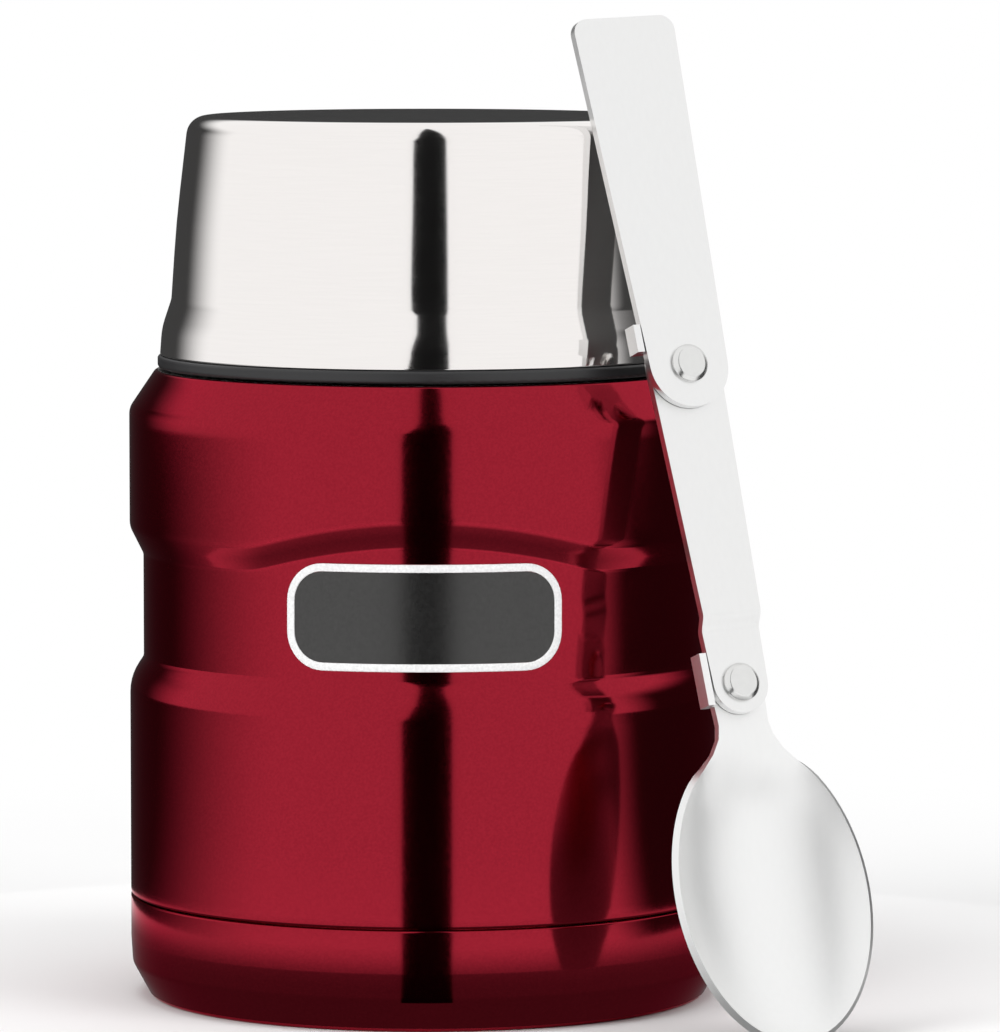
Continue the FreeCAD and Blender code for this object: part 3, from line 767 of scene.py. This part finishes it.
def drillHole(obj, y):
    deselectAll()
    bpy.ops.mesh.primitive_cylinder_add(
        vertices=spoon["holeSides"], radius=spoon["hole"], depth=spoon["drillDepth"], location=(0, y, 0))
    drill = bpy.context.object
    bpy.ops.object.transform_apply(location=True, rotation=False, scale=True)
    combine(obj, drill, "DIFFERENCE")


def arcPoints(centre, radius, start, stop, steps):
    points = []
    for k in range(steps + 1):
        angle = start + (stop - start) * k / steps
        points.append(centre + Vector((math.cos(angle), math.sin(angle))) * radius)
    return points


def stripOutline(low, lowHalf, high, highHalf, corner):
    # Round about (0, low) at the lower end. The top is round too, or squared with rounded corners.
    taper = math.atan2(highHalf - lowHalf, high - low)
    right = arcPoints(Vector((0, low)), lowHalf, -math.pi / 2, -taper, spoon["roundSteps"])
    if corner is None:
        right += arcPoints(Vector((0, high)), highHalf, -taper, math.pi / 2, spoon["roundSteps"])
    else:
        centre = Vector((highHalf - corner, high - corner))
        right += arcPoints(centre, corner, -taper, math.pi / 2, spoon["cornerSteps"])
    left = [Vector((-point.x, point.y)) for point in right[::-1] if abs(point.x) > hair]
    return right + left


def makeStrip(name, outline, back, front):
    deselectAll()
    bpy.ops.mesh.primitive_circle_add(vertices=len(outline), radius=1, fill_type="NGON", location=(0, 0, 0))
    obj = startPiece(name)
    for vertex, point in zip(obj.data.vertices, outline):
        vertex.co = (point.x, point.y, back)
    editMode("SELECT")
    bpy.ops.mesh.extrude_region_move(TRANSFORM_OT_translate={"value": (0, 0, front - back)})
    bpy.ops.mesh.select_all(action="SELECT")
    bpy.ops.mesh.normals_make_consistent(inside=False)
    objectMode()
    return obj


def makeGrip():
    top = linkLength + spoon["gripLength"]
    outline = stripOutline(linkLength, spoon["gripLow"], top, spoon["gripHigh"], spoon["gripCorner"])
    obj = makeStrip("spoonGrip", outline, spoon["pitch"], spoon["pitch"] + spoon["plate"])
    drillHole(obj, linkLength)
    bevelEdges(obj, spoon["edge"])
    placeSpoonPiece(obj)
    finishPiece(obj, "grip", "spoonSteel", "spoon_steel", "spoon_grip")
    smooth(obj, angle=30)


def makeLink():
    outline = stripOutline(0, spoon["linkLow"], linkLength, spoon["linkHigh"], None)
    obj = makeStrip("spoonLink", outline, 0, spoon["plate"])
    start = spoon["jogStart"] - spoon["jogEase"]
    stop = spoon["jogStart"] + spoon["jogLength"] + spoon["jogEase"]
    activate(obj)
    for k in range(spoon["jogCuts"] + 1):
        editMode("SELECT")
        height = start + (stop - start) * k / spoon["jogCuts"]
        bpy.ops.mesh.bisect(plane_co=(0, height, 0), plane_no=(0, 1, 0), use_fill=False)
        objectMode()
    for vertex in obj.data.vertices:
        vertex.co.z += linkBack * (1 - easeBetween(vertex.co.y, start, stop))
    low, high = spoon["upperTab"]
    gripHalf = spoon["gripLow"] + (spoon["gripHigh"] - spoon["gripLow"]) * high / spoon["gripLength"]
    front = spoon["pitch"] + spoon["plate"]
    span = (linkLength + low, linkLength + high)
    addTab(obj, gripHalf + spoon["tabGap"], spoon["upperTabRoot"], span, 0, spoon["plate"], front)
    drillHole(obj, 0)
    drillHole(obj, linkLength)
    bevelEdges(obj, spoon["edge"])
    placeSpoonPiece(obj)
    finishPiece(obj, "link", "spoonSteel", "spoon_steel", "spoon_link")
    smooth(obj, angle=30)


def scoopOutline(k):
    # Step k round the scoop's edge from the middle of the neck: the neck's end, a fillet, then the oval
    side = math.copysign(1, k)
    step = abs(k)
    if step <= scoop["neckSteps"]:
        return Vector((scoop["neckWaist"] * k / scoop["neckSteps"], scoop["neckStart"]))
    a = scoop["halfWidth"]
    b = scoop["halfLength"]
    if step < scoop["neckSteps"] + scoop["filletSteps"]:
        x = scoop["filletAcross"]
        y = b * math.sqrt(1 - (x / a) ** 2)
        slope = -b / a * x / math.sqrt(a * a - x * x)
        p0 = Vector((scoop["neckWaist"], scoop["neckStart"]))
        p2 = Vector((x, scoop["centre"] + y))
        p1 = Vector((p0.x, p2.y + slope * (p0.x - x)))
        t = (step - scoop["neckSteps"]) / scoop["filletSteps"]
        point = p0 * (1 - t) ** 2 + p1 * 2 * t * (1 - t) + p2 * t * t
        return Vector((side * point.x, point.y))
    angle = math.tau * step / scoop["points"]
    reach = 1 / math.hypot(math.sin(angle) / a, math.cos(angle) / b)
    return Vector((side * reach * math.sin(angle), scoop["centre"] + reach * math.cos(angle)))


def scoopHeight(x, y):
    # Height of the scoop's face: an oval cap that flows out on to the neck
    a = scoop["halfWidth"]
    b = scoop["halfLength"]
    rho = min(math.hypot(x / a, (y - scoop["centre"]) / b), 1.0)
    cap = math.radians(scoop["capAngle"])
    drop = (math.sqrt(1 - (rho * math.sin(cap)) ** 2) - math.cos(cap)) / (1 - math.cos(cap))
    flowStart, flowStop = (scoop["centre"] + part * b for part in scoop["flowLength"])
    nearNeck = easeBetween(y, flowStart, flowStop) * (1 - easeBetween(abs(x), *scoop["flowWidth"]))
    drop = max(drop, 0) ** (1 + scoop["flowSoftness"] * nearNeck)
    base = rimHeight + (neckFace - rimHeight) * easeBetween(y, *scoop["slope"])
    return base - scoop["depth"] * drop


def extrudeNeck(obj):
    # Draws the flat neck out of the oval's upper edge, row by row, up to its round end
    start = scoop["neckStart"]
    waist = scoop["neckWaist"]
    editMode("DESELECT")
    objectMode()
    for vertex in obj.data.vertices:
        vertex.select = abs(vertex.co.y - start) < hair and abs(vertex.co.x) < waist + hair
    for edge in obj.data.edges:
        edge.select = all(obj.data.vertices[i].select for i in edge.vertices)
    bpy.ops.object.mode_set(mode="EDIT")
    bpy.ops.mesh.select_mode(type="EDGE")
    before = start
    widthBefore = waist
    for row in scoop["neckRows"]:
        if row <= 0:
            width = waist + (scoop["neckHalf"] - waist) * easeBetween(row, start, 0)
        else:
            width = math.sqrt(scoop["neckHalf"] ** 2 - row ** 2)
        bpy.ops.mesh.extrude_region_move(TRANSFORM_OT_translate={"value": (0, row - before, 0)})
        bpy.ops.transform.resize(value=(width / widthBefore, 1, 1), center_override=(0, row, 0))
        before = row
        widthBefore = width
    bpy.ops.mesh.select_mode(type="VERT")
    objectMode()


def makeScoop():
    count = scoop["points"]
    deselectAll()
    bpy.ops.mesh.primitive_circle_add(vertices=count, radius=1, location=(0, 0, 0))
    obj = startPiece("spoonScoop")
    half = count // 2
    outline = [scoopOutline(k if k < half else k - count) for k in range(count)]
    for vertex, point in zip(obj.data.vertices, outline):
        vertex.co = (point.x, point.y, 0)
    activate(obj)
    editMode("SELECT")
    middle = (0, scoop["centre"], 0)
    scale = 1.0
    for goal in scoop["rings"]:
        bpy.ops.mesh.extrude_region_move(TRANSFORM_OT_translate={"value": (0, 0, 0)})
        bpy.ops.transform.resize(value=(goal / scale, goal / scale, 1), center_override=middle)
        scale = goal
    bpy.ops.mesh.fill_grid(span=count // 4, offset=0)
    objectMode()
    extrudeNeck(obj)
    thick = obj.vertex_groups.new(name="thick")
    thin = scoop["wall"] / spoon["plate"]
    for vertex in obj.data.vertices:
        weight = thin + (1 - thin) * easeBetween(vertex.co.y, *scoop["thickening"])
        thick.add([vertex.index], weight, "REPLACE")
        vertex.co.z = scoopHeight(vertex.co.x, vertex.co.y)
    activate(obj)
    editMode("SELECT")
    bpy.ops.mesh.normals_make_consistent(inside=False)
    objectMode()
    if sum(face.normal.z for face in obj.data.polygons) < 0:
        obj.data.flip_normals()
    applyModifier(
        obj, "SOLIDIFY", thickness=spoon["plate"], offset=-1, vertex_group="thick", use_even_offset=True)
    low, high = spoon["lowerTab"]
    linkHalf = spoon["linkLow"] + (spoon["linkHigh"] - spoon["linkLow"]) * high / linkLength
    front = linkBack + spoon["plate"]
    addTab(obj, linkHalf + spoon["tabGap"], spoon["lowerTabRoot"], (low, high), neckBack, neckFace, front)
    drillHole(obj, 0)
    bevelEdges(obj, scoop["edge"], angle=50)
    placeSpoonPiece(obj)
    finishPiece(obj, "scoop", "scoopSteelPaintedLighter", "spoon_steel", "spoon_scoop")
    smooth(obj, angle=40)


def makeRivet(name, node, body, y, back, front):
    # Both heads stand a hair clear of the strips that turn under them
    head = roundedChain(rivet["head"], rivet["turnStep"])
    low = back - rivet["gap"]
    high = front + rivet["gap"]
    points = [Vector((point.x, low - point.y)) for point in head[::-1]]
    points += [Vector((rivet["shank"], low)), Vector((rivet["shank"], high))]
    points += [Vector((point.x, point.y + high)) for point in head]
    obj = lathe(name, points, rivet["segments"])
    obj.data.transform(Matrix.Scale(1 / mm, 4))  # back to millimetres, as the spoon's other pieces are
    obj.data.transform(Matrix.Translation((0, y, 0)))
    placeSpoonPiece(obj)
    finishPiece(obj, body, "rivetSteel", "rivet_steel", node)
    smooth(obj, angle=30)


makeGrip()
makeLink()
makeScoop()
makeRivet("lowerRivet", "lower_rivet", "scoop", 0, neckBack, linkBack + spoon["plate"])
makeRivet("upperRivet", "upper_rivet", "link", linkLength, 0, spoon["pitch"] + spoon["plate"])
print("spoon done")


# The studio: a white world, a pale floor, soft lamps, and grey glowing sheets that only reflections see,
# which are painted dark reflections.
# Azimuths are in degrees from the front towards +X, and sizes are in metres.
studio = {
    "floorSize": 6.0,
    "floorColour": (0.86, 0.86, 0.86),
    "floorRoughness": (0.87, 0.9),
    "floorGrain": 40.0,
    "floorBump": 0.02,
    "whiteFrom": 0.1,
    "whiteTo": 0.3,
    "ambient": 0.55,
    # The front, back and floor sheets below glow grey, and only reflections see them: painted dark
    # reflections.
    "paintedFrontReflection": {
        "glow": 0.006,
        "rungs": (  # distance, left and right azimuth, height
            (0.05, -4.9, 5.8, 0.001), (0.1, -6.6, 7.5, 0.001), (0.2, -7.9, 8.8, 0.001),
            (0.5, -8.6, 9.5, 0.001), (1.6, -8.8, 9.7, 0.001), (1.6, -6.2, 9.7, 0.25),
            (1.6, -3.8, 9.7, 1.1), (1.3, -3.8, 9.7, 2.0), (0.1, -3.8, 9.7, 2.6),
        ),
    },
    "reflectionSheetSteps": 24,  # "low" and "high" are a sheet's edges, each a distance and a height
    "paintedBackReflection": {
        "low": (1.5, -0.02), "high": (1.5, 1.0), "start": 77.0, "stop": 256.0, "glow": 0.05,
        "fade": {"middle": 154.5, "rising": (-76.0, -54.0), "falling": (100.0, 67.0), "top": (0.95, 0.5)},
    },
    "paintedFloorReflection": {
        "low": (0.13, 0.001), "high": (1.5, 0.001), "start": 60.0, "stop": 309.0, "glow": 0.045,
        "fade": {"middle": 180.0, "rising": (-116.0, -94.0), "falling": (128.0, 56.0), "top": (0.95, 0.5)},
    },
    "footShade": {
        "reach": 0.14,
        "height": 0.0006,
        "sides": 96,
        "greys": ((0.05, 0.14), (0.066, 0.17), (0.09, 0.24), (0.135, 1.0)),
    },
    "lamps": {
        "leftPanel": {"place": (-1.1, -1.0, 0.9), "size": (0.9, 1.2), "power": 14},
        "rightPanel": {"place": (1.2, -0.9, 0.8), "size": (0.8, 1.2), "power": 9},
        "topPanel": {"place": (0, -0.1, 1.5), "size": (1.2, 1.2), "power": 10},
    },
    "lampTarget": (0, 0, 0.08),
}

camera = {
    "place": (0.0118, -1.203, 0.1796),
    "pitchDown": 4.86,
    "lens": 260.6,
    "sensor": 36.0,
    "farthest": 20,
}


def seenOrReflected(owner, path):
    # One for what the camera and reflections see, nought for the light that falls on the object
    seen = addNode(owner, "ShaderNodeMath", operation="ADD", use_clamp=True)
    owner.node_tree.links.new(path.outputs["Is Camera Ray"], seen.inputs[0])
    owner.node_tree.links.new(path.outputs["Is Glossy Ray"], seen.inputs[1])
    return seen


def makeFloorMaterial():
    # Near the object the floor takes its shadow. Further out it is as white as the world behind it.
    roughness = studio["floorRoughness"]
    material, shader = startMaterial(
        "paleFloor", studio["floorColour"], metallic=0.0, roughness=roughness[1])
    vector = grainVector(material, "flat")
    addGrain(material, shader, vector, studio["floorGrain"], roughness, studio["floorBump"])
    links = material.node_tree.links
    place = addNode(material, "ShaderNodeTexCoord")
    away = addNode(material, "ShaderNodeVectorMath", operation="LENGTH")
    links.new(place.outputs["Object"], away.inputs[0])
    fade = addNode(material, "ShaderNodeMapRange", interpolation_type="SMOOTHSTEP")
    fade.inputs["From Min"].default_value = studio["whiteFrom"]
    fade.inputs["From Max"].default_value = studio["whiteTo"]
    links.new(away.outputs["Value"], fade.inputs["Value"])
    seen = seenOrReflected(material, addNode(material, "ShaderNodeLightPath"))
    both = addNode(material, "ShaderNodeMath", operation="MULTIPLY")
    links.new(fade.outputs[0], both.inputs[0])
    links.new(seen.outputs[0], both.inputs[1])
    white = addNode(material, "ShaderNodeEmission")
    white.inputs["Color"].default_value = (1, 1, 1, 1)
    mixed = addNode(material, "ShaderNodeMixShader")
    links.new(both.outputs[0], mixed.inputs["Fac"])
    links.new(shader.outputs[0], mixed.inputs[1])
    links.new(white.outputs[0], mixed.inputs[2])
    links.new(mixed.outputs[0], material.node_tree.nodes["Material Output"].inputs["Surface"])
    return material


def makeFloor():
    deselectAll()
    bpy.ops.mesh.primitive_plane_add(size=studio["floorSize"], location=(0, 0, 0))
    floor = startPiece("floor")
    floor.data.materials.append(makeFloorMaterial())


def onlyReflected(obj):
    obj.visible_camera = False
    obj.visible_shadow = False
    obj.visible_diffuse = False


def startPaintedReflection(name, glow):
    # Takes no light and glows an even grey: a painted dark reflection
    return startMaterial(
        name, (0.0, 0.0, 0.0), metallic=0.0, roughness=1.0, Specular_IOR_Level=0.0,
        Emission_Color=(1.0, 1.0, 1.0, 1.0), Emission_Strength=glow)


def addFade(material, shader, fade):
    # Solid about its middle azimuth, and clear towards its sides and its top
    links = material.node_tree.links
    place = addNode(material, "ShaderNodeTexCoord")
    turned = addNode(material, "ShaderNodeMapping", vector_type="POINT")
    turned.inputs["Rotation"].default_value = (0, 0, math.radians(90 - fade["middle"]))
    links.new(place.outputs["Object"], turned.inputs["Vector"])
    split = addNode(material, "ShaderNodeSeparateXYZ")
    links.new(turned.outputs[0], split.inputs[0])
    azimuth = addNode(material, "ShaderNodeMath", operation="ARCTAN2")
    links.new(split.outputs["Y"], azimuth.inputs[0])
    links.new(split.outputs["X"], azimuth.inputs[1])
    limits = (
        (azimuth.outputs[0], [math.radians(value) for value in fade["rising"]]),
        (azimuth.outputs[0], [math.radians(value) for value in fade["falling"]]),
        (split.outputs["Z"], fade["top"]),
    )
    amount = None
    for measured, (clearAt, solidAt) in limits:
        part = addNode(material, "ShaderNodeMapRange", interpolation_type="SMOOTHSTEP")
        part.inputs["From Min"].default_value = clearAt
        part.inputs["From Max"].default_value = solidAt
        links.new(measured, part.inputs["Value"])
        if amount is None:
            amount = part
            continue
        both = addNode(material, "ShaderNodeMath", operation="MULTIPLY")
        links.new(amount.outputs[0], both.inputs[0])
        links.new(part.outputs[0], both.inputs[1])
        amount = both
    clear = addNode(material, "ShaderNodeBsdfTransparent")
    mixed = addNode(material, "ShaderNodeMixShader")
    links.new(amount.outputs[0], mixed.inputs["Fac"])
    links.new(clear.outputs[0], mixed.inputs[1])
    links.new(shader.outputs[0], mixed.inputs[2])
    links.new(mixed.outputs[0], material.node_tree.nodes["Material Output"].inputs["Surface"])


def ringPoint(distance, azimuth, height):
    angle = math.radians(azimuth)
    return Vector((distance * math.sin(angle), -distance * math.cos(angle), height))


def makePaintedReflection(name, pairs, glow, fade=None):
    # A glowing grey sheet between pairs of points, seen only in reflections: a painted dark reflection
    points = [point for pair in pairs for point in pair]
    faces = [(2 * k, 2 * k + 1, 2 * k + 3, 2 * k + 2) for k in range(len(pairs) - 1)]
    mesh = bpy.data.meshes.new(name)
    mesh.from_pydata(points, [], faces)
    paintedSheet = bpy.data.objects.new(name, mesh)
    bpy.context.scene.collection.objects.link(paintedSheet)
    material, shader = startPaintedReflection(name + "Grey", glow)
    if fade:
        addFade(material, shader, fade)
    paintedSheet.data.materials.append(material)
    onlyReflected(paintedSheet)


def makePaintedReflections():
    # The front painted reflection runs out over the floor, rises behind the camera and bends back over the
    # object
    front = studio["paintedFrontReflection"]
    pairs = []
    for distance, left, right, height in front["rungs"]:
        pairs.append((ringPoint(distance, left, height), ringPoint(distance, right, height)))
    makePaintedReflection("paintedFrontReflection", pairs, front["glow"])
    # The back and floor sheets are painted dark reflections too.
    steps = studio["reflectionSheetSteps"]
    for name in ("paintedBackReflection", "paintedFloorReflection"):
        reflectionSheet = studio[name]
        near, low = reflectionSheet["low"]
        far, high = reflectionSheet["high"]
        pairs = []
        for k in range(steps + 1):
            azimuth = reflectionSheet["start"] + (reflectionSheet["stop"] - reflectionSheet["start"]) * k / steps
            pairs.append((ringPoint(near, azimuth, low), ringPoint(far, azimuth, high)))
        makePaintedReflection(name, pairs, reflectionSheet["glow"], reflectionSheet["fade"])


def makeFootShade():
    # In reflections the floor darkens towards the jar's foot, as its own contact shadow does
    shade = studio["footShade"]
    deselectAll()
    bpy.ops.mesh.primitive_circle_add(
        vertices=shade["sides"], radius=shade["reach"], fill_type="NGON", location=(0, 0, 0))
    disc = startPiece("footShade")
    for vertex in disc.data.vertices:
        vertex.co.z = shade["height"]
    material, shader = startPaintedReflection("footShade", 1.0)
    links = material.node_tree.links
    place = addNode(material, "ShaderNodeTexCoord")
    away = addNode(material, "ShaderNodeVectorMath", operation="LENGTH")
    links.new(place.outputs["Object"], away.inputs[0])
    part = addNode(material, "ShaderNodeMath", operation="DIVIDE")
    part.inputs[1].default_value = shade["reach"]
    links.new(away.outputs["Value"], part.inputs[0])
    ramp = addNode(material, "ShaderNodeValToRGB")
    ramp.color_ramp.interpolation = "EASE"
    stops = ramp.color_ramp.elements
    for _ in shade["greys"][2:]:
        stops.new(0.5)
    for stop, (radius, grey) in zip(stops, shade["greys"]):
        stop.position = radius / shade["reach"]
        stop.color = (grey, grey, grey, 1.0)
    links.new(part.outputs[0], ramp.inputs["Fac"])
    links.new(ramp.outputs["Color"], shader.inputs["Emission Color"])
    disc.data.materials.append(material)
    onlyReflected(disc)


def addLamp(name, place, size, power):
    deselectAll()
    bpy.ops.object.light_add(type="AREA", location=place)
    lamp = bpy.context.object
    lamp.name = name
    lamp.data.shape = "RECTANGLE"
    lamp.data.size, lamp.data.size_y = size
    lamp.data.energy = power
    aim = Vector(studio["lampTarget"]) - Vector(place)
    lamp.rotation_euler = aim.to_track_quat("-Z", "Y").to_euler()
    lamp.visible_glossy = False
    lamp.visible_camera = False


def makeWorld():
    # White to look at and in reflections, and dimmer as a light
    world = bpy.data.worlds.new("studioWorld")
    bpy.context.scene.world = world
    world.use_nodes = True
    links = world.node_tree.links
    background = world.node_tree.nodes["Background"]
    background.inputs["Color"].default_value = (1, 1, 1, 1)
    path = addNode(world, "ShaderNodeLightPath")
    seen = seenOrReflected(world, path)
    through = addNode(world, "ShaderNodeMath", operation="ADD", use_clamp=True)
    links.new(seen.outputs[0], through.inputs[0])
    links.new(path.outputs["Is Transmission Ray"], through.inputs[1])
    strength = addNode(world, "ShaderNodeMapRange")
    strength.inputs["To Min"].default_value = studio["ambient"]
    strength.inputs["To Max"].default_value = 1.0
    links.new(through.outputs[0], strength.inputs["Value"])
    links.new(strength.outputs[0], background.inputs["Strength"])


def makeCamera():
    data = bpy.data.cameras.new("photoCamera")
    data.sensor_fit = "VERTICAL"
    data.sensor_height = camera["sensor"]
    data.lens = camera["lens"]
    data.clip_end = camera["farthest"]
    seat = bpy.data.objects.new("photoCamera", data)
    seat.location = camera["place"]
    seat.rotation_euler = (math.radians(90 - camera["pitchDown"]), 0, 0)
    bpy.context.scene.collection.objects.link(seat)
    bpy.context.scene.camera = seat


makeFloor()
makePaintedReflections()
makeFootShade()
makeWorld()
for name, settings in studio["lamps"].items():
    addLamp(name, **settings)
makeCamera()
bpy.context.scene.view_settings.view_transform = "Standard"
print("studio done")
